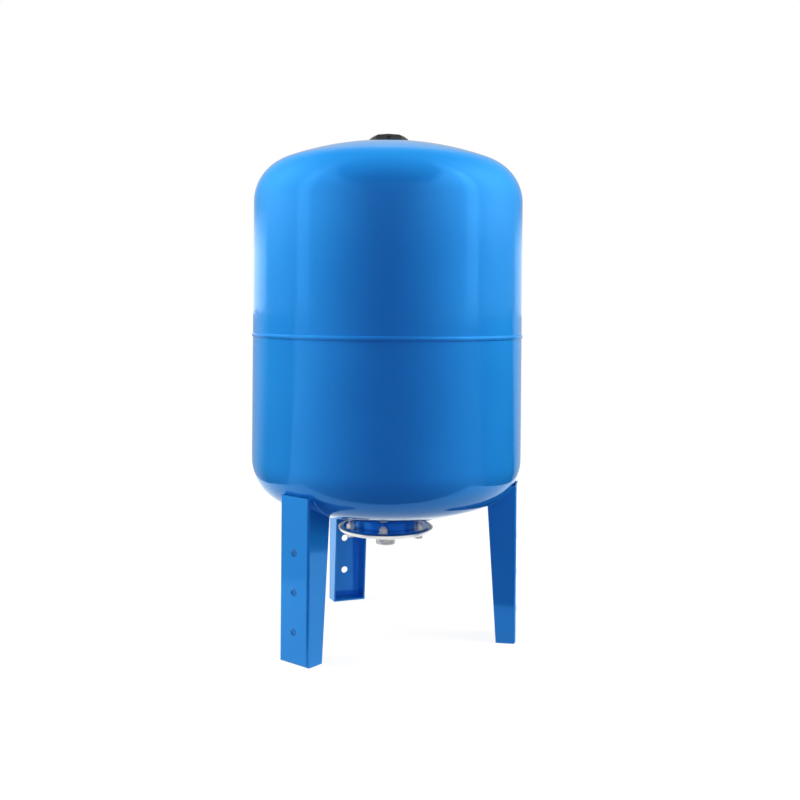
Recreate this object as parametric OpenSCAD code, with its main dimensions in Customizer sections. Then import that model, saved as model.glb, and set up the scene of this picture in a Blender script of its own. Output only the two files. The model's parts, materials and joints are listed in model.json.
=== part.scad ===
// Upright bladder pressure tank for a well pump, about 100 litres, on three pressed legs.
// The tank's axis is Z, the floor is at Z = 0, and one leg points along +X.

/* [Tank shell] */
// Outside diameter of the shell
tank_d = 450; // [430:1:500]
// Height of the straight wall between the two domed ends
straight_h = 426; // [340:1:600]
// Height of the girth weld above the lower end of the straight wall
seam_up = 205; // [120:1:300]
// Sheet thickness of the shell
shell_t = 1.5; // [1.2:0.1:3]
// Outside radius of the bend from the wall into a domed end
knuckle_r = 75; // [60:1:90]
// Outside radius of the domed ends
crown_r = 500; // [460:5:600]
// Height of the tank's lowest point above the floor
belly_z = 192; // [180:1:260]
// Width of the girth weld
girth_w = 7; // [4:0.5:10]
// How far the girth weld stands proud of the wall
girth_h = 1.6; // [0.8:0.1:2.5]

/* [Legs] */
// Width of a leg across its two flanges
leg_w = 60; // [50:1:70]
// Sheet thickness of a leg
leg_t = 2.5; // [2:0.1:3.5]
// Outside radius of the folds of a leg
leg_fold_r = 4; // [3.8:0.1:6]
// How far the outer face of a leg lies inside the shell's radius
leg_inset = 5; // [3:0.5:10]
// Depth of a leg at the floor
leg_foot_depth = 32; // [26:1:45]
// Depth of a leg at the top of its web
leg_top_depth = 49; // [46:1:60]
// How far a leg's web reaches above the tank's lowest point
leg_lap = 63.5; // [50:0.5:66]
// Thickness of the weld beads along the tops of the legs
leg_weld_t = 2.5; // [1.5:0.1:4]
// Diameter of the holes in a leg's web
leg_hole_d = 12; // [8:0.5:16]
// Height of the lowest hole above the floor
leg_hole_z = 50; // [20:1:60]
// Spacing of the holes
leg_hole_pitch = 60; // [30:1:65]
// Number of holes in each leg
leg_hole_count = 3; // [1:1:3]

/* [Water connection] */
// Inside diameter of the neck
neck_bore_d = 90; // [70:1:110]
// Wall thickness of the neck's hub
neck_wall = 5; // [3:0.5:6]
// Distance from the neck's hub out to the centres of the bolts
bolt_room = 15; // [14:0.5:22]
// Distance from the centres of the bolts out to the ring's edge
ring_edge = 7; // [5.5:0.5:14]
// Thickness of the neck's ring
neck_ring_t = 5; // [4:0.5:8]
// Distance from the tank's lowest point down to the ring
neck_drop = 14; // [13:0.5:24]
// Depth that the neck's hub reaches into the tank
neck_reach = 6; // [4:0.5:12]
// Size of the weld round the neck
neck_weld = 5; // [3:0.5:6]
// Distance from the ring's edge out to the fold of the counter-flange's lip
lip_room = 1.4; // [1:0.1:8]
// Sheet thickness of the counter-flange
flange_t = 3; // [2.5:0.5:4]
// Height of the counter-flange with its upturned lip
lip_h = 8; // [7.5:0.5:12]
// Slope of the lip
lip_slope = 60; // [45:1:75]
// Number of flange bolts
bolt_count = 6; // [4:1:8]
// Thread diameter of the flange bolts
bolt_d = 8; // [6:1:8]
// Turn of the bolt circle from the leg on the X axis
bolt_turn = 36; // [0:1:60]
// Outside diameter of the nozzle over its thread
nozzle_d = 33.2; // [26.4:0.1:42]
// Wall thickness of the nozzle
nozzle_wall = 3; // [2.5:0.1:4]
// Length of the nozzle below the counter-flange
nozzle_len = 23; // [15:0.5:40]
// Length of the nozzle's thread
thread_len = 18; // [10:0.5:19]
// Size of the weld round the nozzle
nozzle_weld = 3; // [2:0.5:4]

/* [Bladder] */
// Diameter of the filled bladder
bladder_d = 340; // [250:1:400]
// Thickness of the rubber
rubber_t = 3; // [2:0.1:3.5]
// Free height between the lower shell and the bladder on the axis
bladder_lift = 22; // [15:1:40]
// Free height between the bladder and the top of the tank
bladder_head_room = 72; // [40:1:200]
// Radius of the bends of the bladder
bladder_bend_r = 60; // [40:1:80]

/* [Top fitting and cap] */
// Outside diameter of the valve socket
socket_d = 44; // [40:0.5:46]
// Height of the valve socket above the top of the tank
socket_up = 7; // [6:0.5:8]
// Depth of the valve socket below the top of the tank
socket_down = 18; // [16:0.5:24]
// Diameter of the recess that holds the valve
recess_d = 32; // [26:0.5:34]
// Depth of the recess below the top of the tank
recess_down = 10; // [9.5:0.5:12]
// Size of the weld round the socket
socket_weld = 3; // [2:0.5:4]
// Thread diameter of the valve in its socket
valve_thread_d = 9.8; // [8:0.1:10]
// Size across the flats of the valve's hexagon
valve_hex = 11; // [10.5:0.5:13]
// Diameter of the valve's stem
valve_stem_d = 7.7; // [7:0.1:8]
// Diameter of the air passage through the valve
valve_bore_d = 5.2; // [4.6:0.1:5.4]
// Height of the valve's stem above the top of the tank
valve_up = 7; // [6:0.5:7.5]
// Diameter across the ridges of the cap
cap_d = 68; // [66:0.5:76]
// Diameter across the ridges of the cap's flat top
cap_top_d = 50; // [46:0.5:56]
// Height of the cap
cap_h = 12.3; // [12.2:0.1:16]
// Height of the cap's upright skirt
cap_skirt_h = 7; // [6:0.5:8]
// Wall thickness of the cap
cap_t = 2.5; // [2:0.1:3]
// Number of flat grip faces round the cap
cap_faces = 8; // [6:1:10]
// Turn of the cap's ridges from the leg on the X axis
cap_turn = 9; // [0:1:44]

/* [Clearances] */
// Room left for weld metal between a leg and the shell
root_gap = 0.2; // [0.1:0.05:0.5]
// Clearance of a piece in the hole that it is welded or screwed into
fit_gap = 0.1; // [0.05:0.05:0.3]
// Clearance of the cap over its socket
cap_gap = 0.3; // [0.2:0.05:0.5]
// Clearance of the rubber in its seat
rubber_gap = 0.5; // [0.3:0.1:1]

/* [Hidden] */
$fn = 128;
head_fn = 360;

paint = "#1f7fd6";
zinc = "#b9bcb6";
brass = "#b8964a";
rubber = "#1b1b1c";
black_plastic = "#202224";

tank_r = tank_d / 2;
// A domed end's height, and how far the crown's centre lies below its tangent line
crown_drop = sqrt((crown_r - knuckle_r) ^ 2 - (tank_r - knuckle_r) ^ 2);
head_h = crown_r - crown_drop;
lower_z = belly_z + head_h;
seam_z = lower_z + seam_up;
upper_z = lower_z + straight_h;
apex_z = upper_z + head_h;

leg_x = tank_r - leg_inset;
leg_top_z = belly_z + leg_lap;
leg_angle = 120;

neck_r = neck_bore_d / 2 + neck_wall;
bolt_circle_r = neck_r + bolt_room;
ring_r = bolt_circle_r + ring_edge;
ring_top_z = belly_z - neck_drop;
ring_z = ring_top_z - neck_ring_t;
flange_z = ring_z - flange_t;
nozzle_r = nozzle_d / 2;
nozzle_z = flange_z - nozzle_len;
// Radius of the nozzle's plain length, at the root of its thread
plain_r = nozzle_r - 0.6;

// Hexagon fasteners, in shares of the thread diameter
bolt_hex = 1.625 * bolt_d;
bolt_head_h = 0.66 * bolt_d;
bolt_nut_h = 0.8 * bolt_d;
washer_d = 2 * bolt_d;
washer_t = 0.2 * bolt_d;
bolt_tip = 0.4 * bolt_d;
bolt_hole_r = bolt_d / 2 + 0.5;

bladder_r = bladder_d / 2;
bladder_crown_r = crown_r - bladder_lift;
bladder_bottom_z = belly_z + bladder_lift;
bladder_top_z = apex_z - bladder_head_room;
bladder_neck_r = neck_bore_d / 2 - rubber_gap;
collar_r = bolt_circle_r - bolt_hole_r - 1;

// Keeps the straight foot of a weld clear of the domed end's slight curve
weld_relief = 0.01;

socket_top_z = apex_z + socket_up;
recess_z = apex_z - recess_down;
valve_seat_t = 1;
valve_hex_h = 4;
dust_cap_wall = 1.3;
cap_z = apex_z - 0.3;
cap_skirt_draft = 1.5;
cap_flat_r = cap_d / 2 * cos(180 / cap_faces);

// Height of the domed end's outside above its lowest point, at a radius on the crown
function crown_rise(r) = crown_r - sqrt(crown_r ^ 2 - r ^ 2);
// Radius of the circle round a hexagon of the given size across its flats
function hex_r(flats) = flats / sqrt(3);

// Half section of a domed end that points up, with its tangent line at Y = 0
module head_section(radius, bend_r, dome_r, wall_h) {
  drop = sqrt((dome_r - bend_r) ^ 2 - (radius - bend_r) ^ 2);
  turn = atan2(drop, radius - bend_r);
  reach = 2 * bend_r;
  difference() {
    intersection() {
      translate([0, -wall_h]) square([radius, wall_h + dome_r]);
      translate([0, -drop]) circle(dome_r, $fn = head_fn);
    }
    translate([radius - bend_r, 0]) difference() {
      polygon([[0, 0], [reach, 0], [reach, reach], reach * [cos(turn), sin(turn)]]);
      circle(bend_r);
    }
  }
}

// Solid of the tank's own form, grown by an amount, from its tangent line to the crown
module head_solid(grow, wall_h) {
  rotate_extrude() head_section(tank_r + grow, knuckle_r + grow, crown_r + grow, wall_h);
}

// One deep-drawn half of the shell, open at its rim
module drawn_shell(wall_h) {
  rotate_extrude() difference() {
    head_section(tank_r, knuckle_r, crown_r, wall_h);
    head_section(tank_r - shell_t, knuckle_r - shell_t, crown_r - shell_t, wall_h + 1);
  }
}

// Places its children on the lower domed end, which points down
module at_lower_head() {
  translate([0, 0, lower_z]) mirror([0, 0, 1]) children();
}

module upper_shell() {
  color(paint) difference() {
    translate([0, 0, upper_z]) drawn_shell(upper_z - seam_z);
    translate([0, 0, recess_z]) cylinder(r = socket_d / 2 + fit_gap, h = 2 * recess_down);
  }
}

module lower_shell() {
  color(paint) difference() {
    at_lower_head() drawn_shell(seam_z - lower_z);
    translate([0, 0, ring_top_z]) cylinder(r = neck_r + fit_gap, h = neck_drop + head_h / 2);
  }
}

// Rounded bead on the outside of the wall, over the joint of the two shells
module girth_weld() {
  bead_r = (girth_w ^ 2 / 4 + girth_h ^ 2) / (2 * girth_h);
  color(paint) translate([0, 0, seam_z]) rotate_extrude() difference() {
    translate([tank_r + girth_h - bead_r, 0]) circle(bead_r);
    translate([tank_r - 2 * bead_r, -bead_r]) square([2 * bead_r, 2 * bead_r]);
  }
}

// Channel section that opens towards the axis, with its outer face on the Y axis
module channel_section(width, depth, fold_r) {
  difference() {
    translate([-depth, -width / 2]) square([depth, width]);
    for (side = [-1, 1]) translate([-fold_r, side * (width / 2 - fold_r)]) difference() {
      translate([0, side > 0 ? 0 : -fold_r]) square([fold_r, fold_r]);
      circle(fold_r, $fn = 48);
    }
  }
}

// One leg, pressed from a sheet: web outside, two tapering flanges, and a foot folded inwards
module leg() {
  blank_depth = leg_top_depth + leg_w;
  color(paint) translate([leg_x, 0, 0]) difference() {
    intersection() {
      linear_extrude(leg_top_z) channel_section(leg_w, blank_depth, leg_fold_r);
      rotate([90, 0, 0]) linear_extrude(leg_w + 2, center = true)
        polygon([[-leg_foot_depth, 0], [0, 0], [0, leg_top_z], [-leg_top_depth, leg_top_z]]);
    }
    translate([-leg_t, 0, leg_t]) linear_extrude(leg_top_z)
      channel_section(leg_w - 2 * leg_t, blank_depth, leg_fold_r - leg_t);
    // The fold between the web and the foot
    translate([-leg_fold_r, 0, leg_fold_r]) rotate([90, 0, 0]) difference() {
      translate([0, -leg_fold_r, -leg_w]) cube([leg_fold_r, leg_fold_r, 2 * leg_w]);
      cylinder(r = leg_fold_r, h = 3 * leg_w, center = true, $fn = 48);
    }
    for (i = [0 : leg_hole_count - 1])
      translate([-leg_fold_r - 1, 0, leg_hole_z + i * leg_hole_pitch]) rotate([0, 90, 0])
        cylinder(d = leg_hole_d, h = leg_fold_r + 2, $fn = 64);
    translate([-leg_x, 0, 0]) at_lower_head() head_solid(root_gap, leg_lap);
  }
}

// Bead along the outside of each flange, where it meets the domed end
module leg_weld() {
  free_x = leg_x - leg_top_depth + 1;
  color(paint) for (side = [0, 1]) mirror([0, side, 0]) intersection() {
    at_lower_head() difference() {
      head_solid(leg_weld_t, leg_lap);
      head_solid(0, leg_lap + 1);
    }
    translate([free_x, leg_w / 2, belly_z])
      cube([leg_x - leg_fold_r - free_x, leg_weld_t, leg_lap]);
  }
}

// Hub through the hole in the lower shell, with the bolting ring below it
module neck_ring() {
  hub_top_z = belly_z + neck_reach;
  color(paint) difference() {
    union() {
      translate([0, 0, ring_z]) cylinder(r = ring_r, h = neck_ring_t);
      translate([0, 0, ring_z]) cylinder(r = neck_r, h = hub_top_z - ring_z);
    }
    translate([0, 0, ring_z - 1]) cylinder(d = neck_bore_d, h = hub_top_z - ring_z + 2);
    // Seat for the bladder's collar
    translate([0, 0, ring_z - 1]) cylinder(r = collar_r + rubber_gap, h = rubber_t + 1);
    bolt_places() translate([0, 0, ring_z - 1]) cylinder(r = bolt_hole_r, h = neck_ring_t + 2, $fn = 48);
  }
}

// Fillet weld between the neck and the lower shell
module neck_weld_bead() {
  edge_r = neck_r + neck_weld;
  foot_z = belly_z - weld_relief;
  color(paint) rotate_extrude()
    polygon([[neck_r, foot_z + crown_rise(neck_r) - neck_weld], [edge_r, foot_z + crown_rise(edge_r)],
             [neck_r, foot_z + crown_rise(neck_r)]]);
}

// Places its children at each flange bolt
module bolt_places() {
  for (i = [0 : bolt_count - 1]) rotate([0, 0, bolt_turn + i * 360 / bolt_count])
    translate([bolt_circle_r, 0, 0]) children();
}

// Half section of the filled bladder, shrunk by an amount
module bladder_section(shrink) {
  radius = bladder_r - shrink;
  bend_r = bladder_bend_r - shrink;
  dome_r = bladder_crown_r - shrink;
  end_h = dome_r - sqrt((dome_r - bend_r) ^ 2 - (radius - bend_r) ^ 2);
  full_h = bladder_top_z - bladder_bottom_z;
  intersection() {
    translate([0, bladder_top_z - shrink - end_h]) head_section(radius, bend_r, dome_r, full_h);
    translate([0, bladder_bottom_z + shrink + end_h]) mirror([0, 1])
      head_section(radius, bend_r, dome_r, full_h);
  }
}

// Rubber bag with a neck, held by a flat collar between the ring and the counter-flange
module bladder() {
  neck_h = bladder_bottom_z + rubber_t + 5 - ring_z;
  color(rubber) rotate_extrude() difference() {
    union() {
      bladder_section(0);
      translate([0, ring_z]) square([bladder_neck_r, neck_h]);
      translate([0, ring_z]) square([collar_r, rubber_t]);
    }
    bladder_section(rubber_t);
    translate([0, ring_z - 1]) square([bladder_neck_r - rubber_t, neck_h + 2]);
  }
}

// Section of the pressed counter-flange: a flat disc with a fold and a sloping lip
module flange_section() {
  inner_r = 2;
  outer_r = inner_r + flange_t;
  lip_len = (lip_h - outer_r + inner_r * cos(lip_slope)) / sin(lip_slope);
  fold_x = ring_r + lip_room;
  steps = 6;
  along = lip_len * [cos(lip_slope), sin(lip_slope)];
  outer_fold = [for (i = [0 : steps]) let (a = lip_slope * i / steps)
    [fold_x, outer_r] + outer_r * [sin(a), -cos(a)]];
  inner_fold = [for (i = [steps : -1 : 0]) let (a = lip_slope * i / steps)
    [fold_x, outer_r] + inner_r * [sin(a), -cos(a)]];
  hole_r = plain_r + fit_gap;
  polygon(concat([[hole_r, 0]], outer_fold, [outer_fold[steps] + along, inner_fold[0] + along],
                 inner_fold, [[hole_r, flange_t]]));
}

module counter_flange() {
  color(zinc) difference() {
    translate([0, 0, flange_z]) rotate_extrude() flange_section();
    bolt_places() translate([0, 0, flange_z - 1]) cylinder(r = bolt_hole_r, h = flange_t + 2, $fn = 48);
  }
}

// Pipe stub with a male thread below its plain length, flush with the inside of the counter-flange
module nozzle() {
  chamfer = 1.5;
  bore_r = nozzle_r - nozzle_wall;
  top_z = nozzle_len + flange_t;
  color(zinc) translate([0, 0, nozzle_z]) rotate_extrude()
    polygon([[bore_r, 0], [nozzle_r - chamfer, 0], [nozzle_r, chamfer], [nozzle_r, thread_len],
             [plain_r, thread_len], [plain_r, top_z], [bore_r, top_z]]);
}

// Fillet weld between the nozzle and the underside of the counter-flange
module nozzle_weld_bead() {
  color(zinc) rotate_extrude()
    polygon([[plain_r, flange_z - nozzle_weld], [plain_r + nozzle_weld, flange_z], [plain_r, flange_z]]);
}

// Hexagon with the corners of its upper end chamfered
module hexagon(flats, h) {
  slope = tan(30);
  tip_z = h + slope * (hex_r(flats) - 0.025 * flats);
  intersection() {
    cylinder(r = hex_r(flats), h = h, $fn = 6);
    cylinder(r1 = tip_z / slope, r2 = 0, h = tip_z);
  }
}

module flange_bolts() {
  shank_top_z = ring_top_z + washer_t + bolt_nut_h + bolt_tip;
  color(zinc) bolt_places() {
    translate([0, 0, flange_z]) mirror([0, 0, 1]) hexagon(bolt_hex, bolt_head_h);
    translate([0, 0, flange_z - bolt_head_h / 2])
      cylinder(d = bolt_d, h = shank_top_z - flange_z + bolt_head_h / 2, $fn = 48);
  }
}

module flange_washers() {
  color(zinc) bolt_places() translate([0, 0, ring_top_z]) difference() {
    cylinder(d = washer_d, h = washer_t, $fn = 48);
    translate([0, 0, -1]) cylinder(r = bolt_hole_r, h = washer_t + 2, $fn = 48);
  }
}

module flange_nuts() {
  color(zinc) bolt_places() translate([0, 0, ring_top_z + washer_t]) difference() {
    hexagon(bolt_hex, bolt_nut_h);
    translate([0, 0, -1]) cylinder(r = bolt_d / 2 + fit_gap, h = bolt_nut_h + 2, $fn = 48);
  }
}

// Turned socket in the top of the tank, with a recess for the valve
module valve_socket() {
  chamfer = 1;
  outer = socket_d / 2;
  inner = recess_d / 2;
  seat = valve_thread_d / 2 + fit_gap;
  color(paint) rotate_extrude()
    polygon([[seat, apex_z - socket_down], [outer, apex_z - socket_down], [outer, socket_top_z - chamfer],
             [outer - chamfer, socket_top_z], [inner + chamfer, socket_top_z],
             [inner, socket_top_z - chamfer], [inner, recess_z], [seat, recess_z]]);
}

// Fillet weld between the socket and the upper shell
module socket_weld_bead() {
  inner = socket_d / 2;
  outer = inner + socket_weld;
  foot_z = apex_z + weld_relief;
  color(paint) rotate_extrude()
    polygon([[inner, foot_z - crown_rise(inner)], [outer, foot_z - crown_rise(outer)],
             [inner, foot_z - crown_rise(inner) + socket_weld]]);
}

module valve_gasket() {
  color(rubber) translate([0, 0, recess_z]) difference() {
    cylinder(d = valve_hex, h = valve_seat_t, $fn = 48);
    translate([0, 0, -1]) cylinder(r = valve_thread_d / 2 + fit_gap, h = valve_seat_t + 2, $fn = 48);
  }
}

// Brass air valve: thread, hexagon and stem
module valve_body() {
  hex_z = recess_z + valve_seat_t;
  bottom_z = apex_z - socket_down + 1;
  color(brass) difference() {
    union() {
      translate([0, 0, bottom_z]) cylinder(d = valve_thread_d, h = hex_z - bottom_z + 1, $fn = 48);
      translate([0, 0, hex_z]) hexagon(valve_hex, valve_hex_h);
      translate([0, 0, hex_z + 1]) cylinder(d = valve_stem_d, h = apex_z + valve_up - hex_z - 1, $fn = 48);
    }
    translate([0, 0, bottom_z - 1]) cylinder(d = valve_bore_d, h = apex_z + valve_up - bottom_z + 2, $fn = 48);
  }
}

// Spring-loaded core in the stem, with its pin just below the mouth
module valve_core() {
  pin_d = 1.6;
  pin_below = 3;
  pin_above = 2;
  core_z = recess_z + valve_seat_t;
  core_h = apex_z + valve_up - pin_above - 0.5 - core_z;
  color(brass) {
    translate([0, 0, core_z]) cylinder(d = valve_bore_d - fit_gap, h = core_h, $fn = 32);
    translate([0, 0, core_z - pin_below]) cylinder(d = pin_d, h = pin_below + core_h + pin_above, $fn = 24);
  }
}

module valve_dust_cap() {
  inner = valve_stem_d / 2 + fit_gap;
  low_z = recess_z + valve_seat_t + valve_hex_h + 3;
  top_z = apex_z + valve_up + dust_cap_wall;
  color(black_plastic) rotate_extrude($fn = 48)
    polygon([[inner, low_z], [inner + dust_cap_wall, low_z], [inner + dust_cap_wall, top_z - 1],
             [inner + dust_cap_wall - 1, top_z], [0, top_z], [0, top_z - dust_cap_wall],
             [inner, top_z - dust_cap_wall]]);
}

// Half section of the cap's outside over its ridges
module cap_outside() {
  shoulder_r = cap_d / 2 - cap_skirt_draft;
  crest_share = 0.46;
  polygon([[0, 0], [cap_d / 2, 0], [shoulder_r, cap_skirt_h],
           [shoulder_r - crest_share * (shoulder_r - cap_top_d / 2), (cap_skirt_h + cap_h) / 2],
           [cap_top_d / 2, cap_h], [0, cap_h]]);
}

// Half section of the cap's inside: skirt hollow, seat over the socket, and room for the valve
module cap_inside() {
  collar_in = socket_d / 2 + cap_gap;
  collar_out = collar_in + 0.7 * cap_t;
  collar_z = socket_weld + cap_gap;
  skirt_in = cap_flat_r - cap_t;
  hollow_h = cap_skirt_h + 0.3 * (cap_h - cap_skirt_h);
  translate([0, -1]) square([skirt_in, collar_z + 1]);
  polygon([[collar_out, 0], [skirt_in, 0], [skirt_in - cap_skirt_draft, cap_skirt_h - cap_t / 2],
           [collar_out + 0.5, hollow_h], [collar_out, hollow_h]]);
  square([collar_in, socket_top_z - cap_z]);
  square([recess_d / 2, cap_h - cap_t]);
}

// Cuts the flat grip faces: upright on the skirt, and sloping above it
module grip_cuts() {
  run = cap_flat_r - cap_skirt_draft - cap_top_d / 2 * cos(180 / cap_faces);
  slope = atan2(cap_h - cap_skirt_h, run);
  for (i = [0 : cap_faces - 1]) rotate([0, 0, (i + 0.5) * 360 / cap_faces]) {
    translate([cap_flat_r, -cap_d, -1]) cube([cap_d, 2 * cap_d, cap_h + 2]);
    translate([cap_flat_r - cap_skirt_draft, 0, cap_skirt_h]) rotate([0, slope - 90, 0])
      translate([0, -cap_d, -cap_h]) cube([cap_d, 2 * cap_d, 3 * cap_h]);
  }
}

// Moulded cap that pushes over the socket and rests on its rim
module top_cap() {
  color(black_plastic) translate([0, 0, cap_z]) rotate([0, 0, cap_turn]) difference() {
    rotate_extrude() cap_outside();
    rotate_extrude() cap_inside();
    grip_cuts();
  }
}

upper_shell();
lower_shell();
girth_weld();
leg();  // right_leg
rotate([0, 0, leg_angle]) leg();  // rear_leg
rotate([0, 0, 2 * leg_angle]) leg();  // left_leg
for (i = [0 : 2]) rotate([0, 0, i * leg_angle]) leg_weld();  // leg_welds
neck_ring();
neck_weld_bead();
bladder();
counter_flange();
nozzle();
nozzle_weld_bead();
flange_bolts();
flange_washers();
flange_nuts();
valve_socket();
socket_weld_bead();
valve_gasket();
valve_body();
valve_core();
valve_dust_cap();
top_cap();
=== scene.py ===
import json
import math

import bmesh
import bpy
from mathutils import Matrix, Vector, noise


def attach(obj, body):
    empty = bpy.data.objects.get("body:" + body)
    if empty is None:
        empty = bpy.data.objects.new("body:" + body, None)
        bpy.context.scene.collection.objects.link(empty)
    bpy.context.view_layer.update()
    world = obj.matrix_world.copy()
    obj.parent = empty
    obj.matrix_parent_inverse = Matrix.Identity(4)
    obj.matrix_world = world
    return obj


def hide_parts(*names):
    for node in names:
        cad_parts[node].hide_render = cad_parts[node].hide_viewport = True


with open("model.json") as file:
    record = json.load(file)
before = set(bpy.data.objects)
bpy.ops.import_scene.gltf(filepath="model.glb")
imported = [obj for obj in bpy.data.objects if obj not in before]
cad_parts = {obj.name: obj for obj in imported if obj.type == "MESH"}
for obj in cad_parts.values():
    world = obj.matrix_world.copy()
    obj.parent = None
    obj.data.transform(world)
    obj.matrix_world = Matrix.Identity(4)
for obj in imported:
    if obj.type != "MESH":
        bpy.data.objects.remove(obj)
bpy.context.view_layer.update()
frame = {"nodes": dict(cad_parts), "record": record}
nodes = frame["nodes"]

# The sizes that part.scad gives these pieces, in metres
TANK_R = 0.225
KNUCKLE_R = 0.075
CROWN_R = 0.500
SHEET = 0.0015
BELLY_Z = 0.192
SEAM_UP = 0.205
STRAIGHT = 0.426
DROP = math.sqrt((CROWN_R - KNUCKLE_R) ** 2 - (TANK_R - KNUCKLE_R) ** 2)
HEAD_H = CROWN_R - DROP
LOWER_Z = BELLY_Z + HEAD_H
SEAM_Z = LOWER_Z + SEAM_UP
UPPER_Z = LOWER_Z + STRAIGHT
APEX_Z = UPPER_Z + HEAD_H
HUB_R = 0.050
HUB_UP = 0.006
RING_R = 0.072
RING_T = 0.005
BORE_R = 0.045
RING_Z = 0.173
FLANGE_Z = 0.170
FLANGE_T = 0.003
LIP_H = 0.008
LIP_ROOM = 0.0014
NOZZLE_Z = 0.147
NOZZLE_R = 0.0166
SOCKET_R = 0.022
LEG_X = 0.220
LEG_HALF = 0.030
CAP_Z = APEX_Z - 0.0003
CAP_TURN = math.radians(9)

# The camera stands at this turn from the -Y axis, this far out and up, and is rolled a little
VIEW_TURN = math.radians(9.3)
VIEW_OUT = 1.74386
VIEW_UP = 0.54805
VIEW_ROLL = math.radians(0.466)
TO_CAMERA = Vector((math.sin(VIEW_TURN), -math.cos(VIEW_TURN), 0))
TO_RIGHT = Vector((math.cos(VIEW_TURN), math.sin(VIEW_TURN), 0))


# Camera, as fitted to the photograph
def make_camera():
    data = bpy.data.cameras.new("camera")
    camera = bpy.data.objects.new("camera", data)
    bpy.context.scene.collection.objects.link(camera)
    data.sensor_width = 36
    data.lens = 46.473
    data.shift_x = 0.01564
    data.shift_y = -0.1177
    data.clip_start = 0.05
    place = TO_CAMERA * VIEW_OUT + Vector((0, 0, VIEW_UP))
    turn = Matrix.Rotation(VIEW_TURN, 4, "Z") @ Matrix.Rotation(math.pi / 2, 4, "X")
    roll = Matrix.Rotation(VIEW_ROLL, 4, "Z")
    camera.matrix_world = Matrix.Translation(place) @ turn @ roll
    bpy.context.scene.camera = camera


# Small helpers for node trees
class Tree:
    def __init__(self, owner):
        owner.use_nodes = True
        self.tree = owner.node_tree
        self.tree.nodes.clear()

    def add(self, kind, **values):
        node = self.tree.nodes.new(kind)
        for key, value in values.items():
            setattr(node, key, value)
        return node

    def join(self, source, target):
        self.tree.links.new(source, target)

    def feed(self, items, sockets):
        for item, socket in zip(items, sockets):
            if isinstance(item, (int, float, tuple)):
                socket.default_value = item
            else:
                self.join(item, socket)

    def value(self, operation, *inputs):
        node = self.add("ShaderNodeMath", operation=operation)
        self.feed(inputs, node.inputs)
        return node.outputs[0]

    def dot(self, source, direction):
        node = self.add("ShaderNodeVectorMath", operation="DOT_PRODUCT")
        self.join(source, node.inputs[0])
        node.inputs[1].default_value = direction
        return node.outputs["Value"]

    # A shade is one number for grey, or a colour
    def ramp(self, source, stops, smooth=False):
        node = self.add("ShaderNodeValToRGB")
        ramp = node.color_ramp
        ramp.interpolation = "EASE" if smooth else "LINEAR"
        ramp.elements.remove(ramp.elements[1])
        ramp.elements[0].position = stops[0][0]
        for place, shade in stops:
            element = ramp.elements[0] if place == stops[0][0] else ramp.elements.new(place)
            element.color = shade if isinstance(shade, tuple) else (shade, shade, shade, 1)
        self.join(source, node.inputs[0])
        return node.outputs[0]

    def mix(self, factor, first, second):
        node = self.add("ShaderNodeMix", data_type="FLOAT")
        self.feed((factor, first, second), node.inputs[:1] + node.inputs[2:4])
        return node.outputs[0]

    def blend(self, factor, first, second):
        node = self.add("ShaderNodeMix", data_type="RGBA")
        self.feed((factor, first, second), node.inputs[:1] + node.inputs[6:8])
        return node.outputs[2]

    def noise(self, source, scale, detail=2.0, rough=0.5):
        node = self.add("ShaderNodeTexNoise")
        node.inputs["Scale"].default_value = scale
        node.inputs["Detail"].default_value = detail
        node.inputs["Roughness"].default_value = rough
        self.join(source, node.inputs["Vector"])
        return node.outputs["Fac"]

    def bump(self, height, strength, distance, below=None):
        node = self.add("ShaderNodeBump")
        node.inputs["Strength"].default_value = strength
        node.inputs["Distance"].default_value = distance
        self.join(height, node.inputs["Height"])
        if below is not None:
            self.join(below, node.inputs["Normal"])
        return node.outputs["Normal"]


# The studio: a white room with a softbox and a strip light on each side, and a cool fill in front.
# A turn runs from 0 at the camera to 1 straight behind, a height from 0 at the horizon to 1 overhead.
def make_world():
    world = bpy.data.worlds.new("studio")
    bpy.context.scene.world = world
    t = Tree(world)
    way = t.add("ShaderNodeTexCoord").outputs["Generated"]
    ahead = t.dot(way, TO_CAMERA)
    across = t.dot(way, TO_RIGHT)
    height = t.dot(way, (0, 0, 1))
    turn = t.value("DIVIDE", t.value("ARCTAN2", t.value("ABSOLUTE", across), ahead), math.pi)
    path = t.add("ShaderNodeLightPath")
    seen = reflected_room(t, turn, across, height)
    light = t.blend(path.outputs["Is Glossy Ray"], cast_light(t, turn, height), seen)
    background = t.add("ShaderNodeBackground")
    t.join(t.blend(path.outputs["Is Camera Ray"], light, grey(1)), background.inputs["Color"])
    t.join(background.outputs[0], t.add("ShaderNodeOutputWorld").inputs[0])


def grey(shade):
    return (shade, shade, shade, 1)


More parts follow.
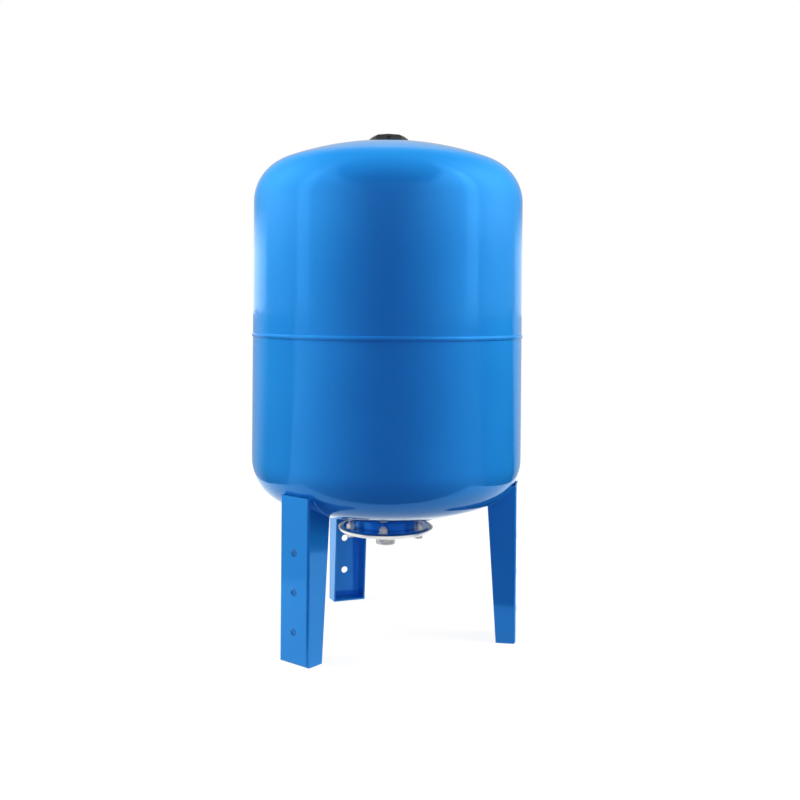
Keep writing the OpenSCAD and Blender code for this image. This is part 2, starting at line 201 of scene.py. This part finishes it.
# What gloss shows of the room: a band at the horizon, the lights above it and a fading ceiling
def reflected_room(t, turn, across, height):
    behind = t.ramp(turn, [(0.55, 0.0), (0.7, 1.0)])
    rear_turn = t.value("SUBTRACT", turn, t.value("MULTIPLY", t.value("MULTIPLY", across, 0.045), behind))
    horizon = t.ramp(rear_turn, [
        (0.0, 0.2), (0.2, 0.32), (0.3, 0.5), (0.37, 0.65), (0.385, 1.1), (0.44, 1.1),
        (0.452, 0.42), (0.6, 0.3), (0.7, 0.3), (0.735, 0.85), (0.8, 1.1), (1.0, 1.1)])
    panel = t.ramp(turn, [
        (0.0, 0.42), (0.1, 0.5), (0.2, 0.75), (0.3, 1.0), (0.37, 1.15), (0.385, 1.75), (0.44, 1.75),
        (0.452, 1.0), (0.53, 0.95), (0.6, 0.75), (0.66, 0.5), (0.72, 0.3), (0.8, 0.25),
        (0.88, 0.4), (1.0, 0.6)])
    front = t.ramp(height, [(0.30, 0.42), (0.48, 0.0)], smooth=True)
    edge = t.value("SUBTRACT", turn, t.value("MULTIPLY_ADD", height, 0.38, -0.2))
    room = t.mix(t.ramp(edge, [(0.20, 0.0), (0.27, 1.0)], smooth=True), front, panel)
    rise = t.ramp(height, [(0.045, 0.0), (0.10, 1.0)], smooth=True)
    fade = t.ramp(height, [(0.62, 1.0), (0.86, 0.4), (0.96, 0.12)])
    seen = t.mix(rise, horizon, t.value("MULTIPLY", room, fade))
    right_share = t.value("MULTIPLY_ADD", height, 0.35, 0.08)
    lean = t.value("MULTIPLY_ADD", across, right_share, 1.0)
    lean = t.value("SUBTRACT", lean, t.value("MULTIPLY", t.value("MULTIPLY", across, 0.35), behind))
    return t.value("MULTIPLY", seen, lean)


# The light that the room casts: a fill in front and the side lights, weaker with height
def cast_light(t, turn, height):
    dim = grey(0.1)
    strong = grey(12)
    fill = (2.8, 2.1, 4.6, 1)
    low_light = t.ramp(turn, [
        (0.0, fill), (0.13, fill), (0.18, dim), (0.43, dim), (0.47, strong), (0.58, strong),
        (0.62, dim), (1.0, dim)])
    mid_light = t.ramp(turn, [(0.42, 0.1), (0.48, 2.6), (0.58, 2.6), (0.63, 0.4), (1.0, 0.1)])
    high_light = t.ramp(turn, [(0.28, 0.1), (0.32, 1.8), (0.58, 1.8), (0.63, 0.4), (1.0, 0.1)])
    to_mid = t.ramp(height, [(0.22, 0.0), (0.28, 1.0)])
    to_high = t.ramp(height, [(0.56, 0.0), (0.64, 1.0)])
    to_top = t.ramp(height, [(0.86, 0.0), (0.94, 1.0)])
    cast = t.blend(to_high, t.blend(to_mid, low_light, mid_light), high_light)
    return t.blend(to_top, cast, grey(0.3))


# Pale floor, white for the camera apart from the tank's soft shadow. For gloss the floor glows as painted
# light:
# a bright table under the tank, brighter towards the back, which ends a little in front of it and at both
# sides, and a dim floor beyond it, brighter at some turns than at others.
def make_floor():
    half, front_edge, half_table = 60, 0.27, 0.62
    white, glowing = 1.13, 0.8
    mesh = bpy.data.meshes.new("floor")
    corners = [(-half, -half, 0), (half, -half, 0), (half, half, 0), (-half, half, 0)]
    mesh.from_pydata(corners, [], [(0, 1, 2, 3)])
    floor = bpy.data.objects.new("floor", mesh)
    bpy.context.scene.collection.objects.link(floor)
    material = bpy.data.materials.new("pale_floor")
    t = Tree(material)
    place = t.add("ShaderNodeTexCoord").outputs["Object"]
    ahead = t.dot(place, TO_CAMERA)
    across = t.dot(place, TO_RIGHT)
    near = t.value("LESS_THAN", ahead, front_edge)
    within = t.value("LESS_THAN", t.value("ABSOLUTE", across), half_table)
    table = t.value("MULTIPLY", near, within)
    turn = t.value("DIVIDE", t.value("ARCTAN2", across, ahead), 2 * math.pi)
    # Painted light: the glow of the floor beyond the table, stronger at some turns than at others
    beyond = t.ramp(t.value("ADD", turn, 0.5), [
        (0.0, 0.45), (0.08, 0.45), (0.12, 0.5), (0.15, 0.35), (0.18, 0.06), (0.27, 0.1), (0.277, 0.62),
        (0.31, 0.62), (0.36, 0.45), (0.43, 0.28), (0.5, 0.22), (0.57, 0.22), (0.65, 0.3), (0.69, 0.3),
        (0.723, 0.22), (0.73, 0.0), (0.86, 0.0), (0.872, 0.45), (0.905, 0.6), (1.0, 0.5)])
    # Painted light: the table's glow, brighter towards the back of the tank
    under = t.ramp(t.value("MULTIPLY_ADD", ahead, -0.5, 0.5), [(0.36, 1.0), (0.5, 1.1), (0.66, 1.3)])
    path = t.add("ShaderNodeLightPath")
    camera, glossy = path.outputs["Is Camera Ray"], path.outputs["Is Glossy Ray"]
    plain = t.add("ShaderNodeBsdfDiffuse")
    t.join(t.mix(camera, 0.1, 0.8), plain.inputs["Color"])
    # Emission that gloss sees in place of a lit floor: painted light
    glow = t.add("ShaderNodeEmission")
    t.join(t.mix(camera, t.mix(table, beyond, under), white), glow.inputs["Strength"])
    mix = t.add("ShaderNodeMixShader")
    t.join(t.mix(camera, glossy, glowing), mix.inputs[0])
    t.join(plain.outputs[0], mix.inputs[1])
    t.join(glow.outputs[0], mix.inputs[2])
    t.join(mix.outputs[0], t.add("ShaderNodeOutputMaterial").inputs[0])
    mesh.materials.append(material)


# A lamp high on each side lights the flanks, more so near the top
def make_lamps():
    out, up = 0.8, 1.25
    aim = Vector((0, 0, 0.75))
    for side in (-1, 1):
        turn = math.radians(78) * side
        data = bpy.data.lights.new("side_lamp", "AREA")
        data.shape = "RECTANGLE"
        data.size = 0.4
        data.size_y = 0.6
        data.energy = 10
        data.color = (1.0, 1.0, 0.85)
        lamp = bpy.data.objects.new("side_lamp", data)
        lamp.location = (TO_CAMERA * math.cos(turn) + TO_RIGHT * math.sin(turn)) * out + Vector((0, 0, up))
        way = aim - lamp.location
        lamp.rotation_euler = way.to_track_quat("-Z", "Y").to_euler()
        lamp.visible_camera = False
        lamp.visible_glossy = False
        bpy.context.scene.collection.objects.link(lamp)


# Glossy blue enamel with a slight orange peel
def enamel(name):
    material = bpy.data.materials.new(name)
    t = Tree(material)
    place = t.add("ShaderNodeTexCoord").outputs["Object"]
    shader = t.add("ShaderNodeBsdfPrincipled")
    shader.inputs["Metallic"].default_value = 0.15
    shader.inputs["Roughness"].default_value = 0.045
    shader.inputs["Specular IOR Level"].default_value = 0.45
    shader.inputs["Specular Tint"].default_value = (0.15, 0.75, 1.0, 1)
    shader.inputs["Coat Weight"].default_value = 0.15
    shader.inputs["Coat IOR"].default_value = 1.45
    shader.inputs["Coat Roughness"].default_value = 0.02
    cloud = t.noise(place, 9.0, 3.0)
    colour = t.ramp(cloud, [(0.3, (0.016, 0.265, 0.725, 1)), (0.7, (0.018, 0.285, 0.755, 1))])
    t.join(colour, shader.inputs["Base Color"])
    peel = t.bump(t.noise(place, 420.0, 1.0), 0.10, 0.0004)
    normal = t.bump(t.noise(place, 38.0, 1.0), 0.06, 0.003, below=peel)
    t.join(normal, shader.inputs["Normal"])
    t.join(normal, shader.inputs["Coat Normal"])
    t.join(shader.outputs[0], t.add("ShaderNodeOutputMaterial").inputs[0])
    return material


# Zinc with its spangle and a few dull patches
def zinc(name):
    material = bpy.data.materials.new(name)
    t = Tree(material)
    place = t.add("ShaderNodeTexCoord").outputs["Object"]
    shader = t.add("ShaderNodeBsdfPrincipled")
    shader.inputs["Metallic"].default_value = 1.0
    patches = t.noise(place, 60.0, 4.0, 0.6)
    colour = t.ramp(patches, [(0.3, (0.70, 0.70, 0.69, 1)), (0.7, (0.88, 0.88, 0.87, 1))])
    t.join(colour, shader.inputs["Base Color"])
    rough = t.ramp(patches, [(0.3, 0.26), (0.7, 0.40)])
    t.join(rough, shader.inputs["Roughness"])
    t.join(t.bump(t.noise(place, 900.0, 2.0), 0.12, 0.0002), shader.inputs["Normal"])
    t.join(shader.outputs[0], t.add("ShaderNodeOutputMaterial").inputs[0])
    return material


# Plastic, rubber or brass with a fine grain, its colour between two shades
def plain_solid(name, low, high, rough, metallic=0.0):
    material = bpy.data.materials.new(name)
    t = Tree(material)
    place = t.add("ShaderNodeTexCoord").outputs["Object"]
    shader = t.add("ShaderNodeBsdfPrincipled")
    shader.inputs["Metallic"].default_value = metallic
    patches = t.noise(place, 70.0, 3.0)
    t.join(t.ramp(patches, [(0.3, low), (0.7, high)]), shader.inputs["Base Color"])
    t.join(t.ramp(patches, [(0.3, rough - 0.04), (0.7, rough + 0.06)]), shader.inputs["Roughness"])
    t.join(t.bump(t.noise(place, 500.0, 2.0), 0.12, 0.0003), shader.inputs["Normal"])
    t.join(shader.outputs[0], t.add("ShaderNodeOutputMaterial").inputs[0])
    return material


# A piece of the object from points and faces, smooth but for its real edges
def add_piece(name, points, faces, material, body, replaced, edge=35):
    mesh = bpy.data.meshes.new(name)
    mesh.from_pydata(points, [], faces)
    mesh.validate()
    work = bmesh.new()
    work.from_mesh(mesh)
    bmesh.ops.remove_doubles(work, verts=work.verts, dist=1e-7)
    bmesh.ops.recalc_face_normals(work, faces=work.faces)
    work.to_mesh(mesh)
    work.free()
    mesh.shade_smooth()
    mesh.set_sharp_from_angle(angle=math.radians(edge))
    mesh.materials.append(material)
    piece = bpy.data.objects.new(name, mesh)
    bpy.context.scene.collection.objects.link(piece)
    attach(piece, body)
    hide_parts(*replaced)


# Points and faces of a closed section, given as (radius, height), turned round the tank's axis
def turned(section, steps, wave=None):
    points, faces = [], []
    rows = len(section)
    for i in range(steps):
        turn = 2 * math.pi * i / steps
        for j, (r, z) in enumerate(section):
            if wave:
                r, z = wave(turn, j, r, z)
            points.append((r * math.cos(turn), r * math.sin(turn), z))
    for i in range(steps):
        for j in range(rows):
            a, b = i * rows + j, i * rows + (j + 1) % rows
            c, d = ((i + 1) % steps) * rows + (j + 1) % rows, ((i + 1) % steps) * rows + j
            faces.append((a, b, c, d))
    return points, faces


# Points on an arc from one angle to another, in degrees
def arc(centre, radius, start, end, steps):
    angles = [math.radians(start + (end - start) * i / steps) for i in range(steps + 1)]
    return [(centre[0] + radius * math.cos(a), centre[1] + radius * math.sin(a)) for a in angles]


# Outline of a domed end from an opening on the axis to its tangent line, with the end pointing up
def head_curve(inset, opening):
    knuckle = KNUCKLE_R - inset
    crown = CROWN_R - inset
    tangent = math.degrees(math.atan2(DROP, TANK_R - KNUCKLE_R))
    start = math.degrees(math.acos(opening / crown))
    dome = arc((0, -DROP), crown, start, tangent, 28)
    bend = arc((TANK_R - KNUCKLE_R, 0), knuckle, tangent, 0, 20)
    return dome + bend[1:]


# Both halves of the shell, open round the socket above and round the hub below
def make_shells(paint):
    rim, bands = 0.0002, 8
    for name, side, base, opening in (("upper", 1, UPPER_Z, SOCKET_R), ("lower", -1, LOWER_Z, HUB_R)):
        outside = [(r, base + side * z) for r, z in head_curve(0, opening + rim)]
        inside = [(r, base + side * z) for r, z in head_curve(SHEET, opening + rim)]
        wall = [base + (SEAM_Z - base) * i / bands for i in range(1, bands + 1)]
        section = outside + [(TANK_R, z) for z in wall] + [(TANK_R - SHEET, SEAM_Z)] + inside[::-1]
        points, faces = turned(section, 360)
        node = name + "_shell"
        add_piece(node + "_skin", points, faces, paint, "tank", [node], edge=50)


# Bead round the joint of the two halves, with a slight wander
def make_girth_weld(paint):
    half, height, root, blunt = 0.0035, 0.0016, 0.0008, 0.8
    steps = 12
    section = []
    for i in range(steps + 1):
        a = math.pi * i / steps
        section.append((TANK_R + height * math.sin(a) ** blunt, SEAM_Z + half * math.cos(a)))
    section.append((TANK_R - root, SEAM_Z - half))
    section.append((TANK_R - root, SEAM_Z + half))

    def wave(turn, j, r, z):
        if j > steps:
            return r, z
        sway = noise.noise(Vector((math.cos(turn) * 5, math.sin(turn) * 5, 0.3))) * 0.0005
        lift = noise.noise(Vector((math.cos(turn) * 14, math.sin(turn) * 14, 2.1))) * 0.0003
        bead = max(r - TANK_R, 0) / height
        return r + lift * bead, z + sway * bead

    points, faces = turned(section, 1080, wave)
    add_piece("girth_bead", points, faces, paint, "tank", ["girth_weld"], edge=60)


# Height of the lower domed end's outside at a distance from the axis
def belly_height(r):
    if r < (TANK_R - KNUCKLE_R) * CROWN_R / (CROWN_R - KNUCKLE_R):
        return BELLY_Z + CROWN_R - math.sqrt(CROWN_R ** 2 - r ** 2)
    return LOWER_Z - math.sqrt(max(KNUCKLE_R ** 2 - (r - TANK_R + KNUCKLE_R) ** 2, 0))


# One bead in the corner between a leg's flange and the domed end, with its ripples and thin ends
def leg_bead(turn, side, points, faces):
    rings, around, wide = 150, 9, 0.0025
    start, reach, length, pitch, nudge = LEG_X - 0.048, 0.0398, 0.052, 0.0021, 0.0005
    spin = Matrix.Rotation(turn, 3, "Z")
    first = len(points)
    for i in range(rings + 1):
        share = i / rings
        x = start + share * reach
        y = side * LEG_HALF
        corner = Vector((x, y, belly_height(math.hypot(x, y))))
        ahead = Vector((x + nudge, y, belly_height(math.hypot(x + nudge, y)))) - corner
        aside = y + side * nudge
        beside = Vector((x, aside, belly_height(math.hypot(x, aside)))) - corner
        down = ahead.cross(Vector((0, side, 0))).normalized()
        down = down if down.z < 0 else -down
        beside.normalize()
        run = share * length
        sway = noise.noise(Vector((run * 180, turn, side))) * 0.1
        taper = min(1, 0.25 + 8 * share, 0.25 + 8 * (1 - share))
        for j in range(around):
            angle = math.pi / 2 * j / (around - 1)
            ripple = 0.07 * math.sin(2 * math.pi * run / pitch + 1.5 * math.sin(2 * angle))
            size = wide * taper * (0.88 + sway + ripple)
            place = corner + size * (math.cos(angle) * beside + math.sin(angle) * down)
            points.append(spin @ place)
        points.append(spin @ (corner - 0.0004 * beside - 0.0002 * down))
    row = around + 1
    for i in range(rings):
        for j in range(row):
            a, b = first + i * row + j, first + i * row + (j + 1) % row
            faces.append((a, b, b + row, a + row))
    faces.append(tuple(range(first, first + row)))
    faces.append(tuple(first + rings * row + j for j in reversed(range(row))))


def make_leg_beads(paint):
    points, faces = [], []
    for turn in (0, 120, 240):
        for side in (-1, 1):
            leg_bead(math.radians(turn), side, points, faces)
    add_piece("leg_beads", points, faces, paint, "tank", ["leg_welds"], edge=70)


# A ring of weld metal over a closed section; the first points of the section are its free face
def ripple_ring(name, section, free, ripples, paint, replaced):
    middle = section[-1]

    def wave(turn, j, r, z):
        if j < free:
            drag = 1.2 * math.sin(math.pi * j / (free - 1))
            swell = 1 + 0.07 * math.sin(turn * ripples + drag)
            swell += 0.10 * noise.noise(Vector((math.cos(turn) * 6, math.sin(turn) * 6, z)))
            r, z = middle[0] + (r - middle[0]) * swell, middle[1] + (z - middle[1]) * swell
        return r, z

    points, faces = turned(section, 6 * ripples, wave)
    add_piece(name, points, faces, paint, "tank", [replaced], edge=70)


# Hub through the lower shell with the bolting ring below it
def make_neck(paint):
    soft, fillet_r, bends, hub_rows = 0.0006, 0.001, 8, 4
    ring_top, top = RING_Z + RING_T, BELLY_Z + HUB_UP
    hub_foot = ring_top + fillet_r
    section = [(BORE_R, RING_Z), (RING_R - soft, RING_Z), (RING_R, RING_Z + soft), (RING_R, ring_top - soft),
               (RING_R - soft, ring_top), (HUB_R + fillet_r, ring_top), (HUB_R, hub_foot)]
    section += [(HUB_R, hub_foot + (top - hub_foot) * i / hub_rows) for i in range(1, hub_rows + 1)]
    section += [(BORE_R, top)]
    points, faces = turned(section, 240)
    add_piece("neck_hub", points, faces, paint, "tank", ["neck_ring"])
    root = belly_height(HUB_R)
    section = arc((HUB_R, root), 0.0045, -90, 2, bends) + [(HUB_R - 0.0003, root + 0.0001)]
    ripple_ring("neck_bead", section, bends + 1, 130, paint, "neck_weld_bead")


# Pressed disc with a folded lip whose edge is slightly rounded
def make_flange(metal):
    inner, outer, slope = 0.002, 0.005, 60
    centre = (RING_R + LIP_ROOM, FLANGE_Z + outer)
    rise, out = math.sin(math.radians(slope)), math.cos(math.radians(slope))
    length = (LIP_H - outer + inner * out) / rise
    low = arc(centre, outer, -90, slope - 90, 12)
    high = arc(centre, inner, slope - 90, -90, 12)
    tip_low = (low[-1][0] + length * out, low[-1][1] + length * rise)
    tip_high = (high[0][0] + length * out, high[0][1] + length * rise)
    soft = 0.0009
    middle = ((tip_low[0] + tip_high[0]) / 2, (tip_low[1] + tip_high[1]) / 2)
    tip = []
    for corner, way in ((tip_low, 1), (tip_high, -1)):
        back = (corner[0] - soft * out, corner[1] - soft * rise)
        along = (corner[0] - way * soft * rise, corner[1] + way * soft * out)
        bend = (corner[0] * 0.6 + (back[0] + along[0]) * 0.2, corner[1] * 0.6 + (back[1] + along[1]) * 0.2)
        tip += [back, bend, along][::way]
    hole = NOZZLE_R - 0.0005
    section = [(hole, FLANGE_Z)] + low + tip[:3] + [middle] + tip[3:] + high + [(hole, FLANGE_Z + FLANGE_T)]
    points, faces = turned(section, 300)
    add_piece("flange_skin", points, faces, metal, "tank", ["counter_flange"])


# Pipe stub with its thread, 11 turns to the inch
def make_nozzle(metal):
    plain, bore, pitch, depth = NOZZLE_R - 0.0006, NOZZLE_R - 0.003, 0.00231, 0.00145
    long, thread, run_out, chamfer, levels, bends = 0.026, 0.018, 0.002, 0.0015, 84, 8
    outer = [(NOZZLE_R, NOZZLE_Z + thread * i / levels) for i in range(levels + 1)]
    rest = [(plain, NOZZLE_Z + thread + 0.0006), (plain, NOZZLE_Z + long), (bore, NOZZLE_Z + long)]
    rest += [(bore, NOZZLE_Z + 0.0008), (bore + 0.0006, NOZZLE_Z)]

    def wave(turn, j, r, z):
        if j <= levels:
            up = z - NOZZLE_Z
            phase = (up / pitch - turn / (2 * math.pi)) % 1
            groove = min(1, max(0, 1.25 * (1 - abs(2 * phase - 1)) - 0.1))
            fade = min(1, max(0, (thread - up) / run_out))
            r = min(r - depth * groove * fade, NOZZLE_R - chamfer + up)
            if up > thread - 0.0001:
                r = plain
        return r, z

    points, faces = turned(outer + rest, 144, wave)
    add_piece("nozzle_thread", points, faces, metal, "tank", ["nozzle"], edge=40)
    section = arc((plain, FLANGE_Z), 0.0027, -90, 0, bends) + [(plain - 0.0002, FLANGE_Z + 0.0002)]
    ripple_ring("nozzle_bead", section, bends + 1, 46, metal, "nozzle_weld_bead")


# Moulded cap: a round skirt and crown cut by eight flat faces, hollow inside. Its sizes are in millimetres.
def make_cap(black):
    scale = 0.001
    foot_r, neck_r, top_r = 34, 32.5, 25
    skirt_h, crest_h, top_h = 7, 9.65, 12.3
    sector = math.radians(45)
    flat = foot_r * math.cos(sector / 2)
    shoulder = flat - (foot_r - neck_r)
    run = shoulder - top_r * math.cos(sector / 2)
    crest_r = neck_r - 0.46 * (neck_r - top_r)
    levels = [(0, 0.5), (0.3, 0.12), (0.9, 0), (2.4, 0), (4.0, 0), (5.2, 0), (5.8, 0), (6.3, 0), (skirt_h, 0),
              (8.2, 0), (crest_h, 0), (10.8, 0), (11.7, 0), (12.1, 0.15), (top_h, 0.7)]
    top = [(19.5, top_h), (19.2, 11.9), (17.2, 11.9), (16.9, top_h), (0, top_h)]
    inside = [(0, 9.8), (16, 9.8), (16, 7.3), (22.3, 7.3), (22.3, 3.3), (24.05, 3.3), (24.05, 8.59),
              (24.55, 8.59), (27.41, 5.75), (28.05, 3.3), (28.91, 3.3), (28.91, 0.3), (29.2, 0)]
    section = [(30, z) for z, inset in levels] + top + inside

    def outside(turn, z):
        angle = (turn - CAP_TURN) % sector - sector / 2
        if z < skirt_h:
            body = foot_r - (foot_r - neck_r) * z / skirt_h
        elif z < crest_h:
            body = neck_r + (crest_r - neck_r) * (z - skirt_h) / (crest_h - skirt_h)
        else:
            body = crest_r + (top_r - crest_r) * (z - crest_h) / (top_h - crest_h)
        bevel = shoulder + (skirt_h - z) * run / (top_h - skirt_h)
        limits = (body, flat / math.cos(angle), bevel / math.cos(angle))
        soft = 0.12
        least = min(limits)
        return least - soft * math.log(sum(math.exp((least - item) / soft) for item in limits))

    def wave(turn, j, r, z):
        if j < len(levels):
            r = outside(turn, z) - levels[j][1]
        return r * scale, CAP_Z + z * scale

    points, faces = turned(section, 240, wave)
    add_piece("cap_moulding", points, faces, black, "cap", ["top_cap"], edge=28)


make_camera()
make_world()
make_floor()
make_lamps()
paint = enamel("blue_enamel")
metal = zinc("zinc_coat")
black = plain_solid("black_moulding", (0.012, 0.013, 0.014, 1), (0.017, 0.018, 0.019, 1), 0.32)
rubber = plain_solid("black_rubber", (0.012, 0.012, 0.012, 1), (0.02, 0.02, 0.02, 1), 0.62)
brass = plain_solid("turned_brass", (0.55, 0.38, 0.13, 1), (0.66, 0.47, 0.19, 1), 0.25, metallic=1.0)
looks = {"tank_paint": paint, "zinc": metal, "black_plastic": black, "rubber": rubber, "brass": brass}
for part in frame["record"]["subparts"]:
    item = nodes.get(part["node"])
    if item:
        item.data.materials.clear()
        item.data.materials.append(looks[part["material_slot"]])

make_shells(paint)
make_girth_weld(paint)
make_leg_beads(paint)
make_neck(paint)
make_flange(metal)
make_nozzle(metal)
make_cap(black)

bpy.context.scene.view_settings.view_transform = "Standard"
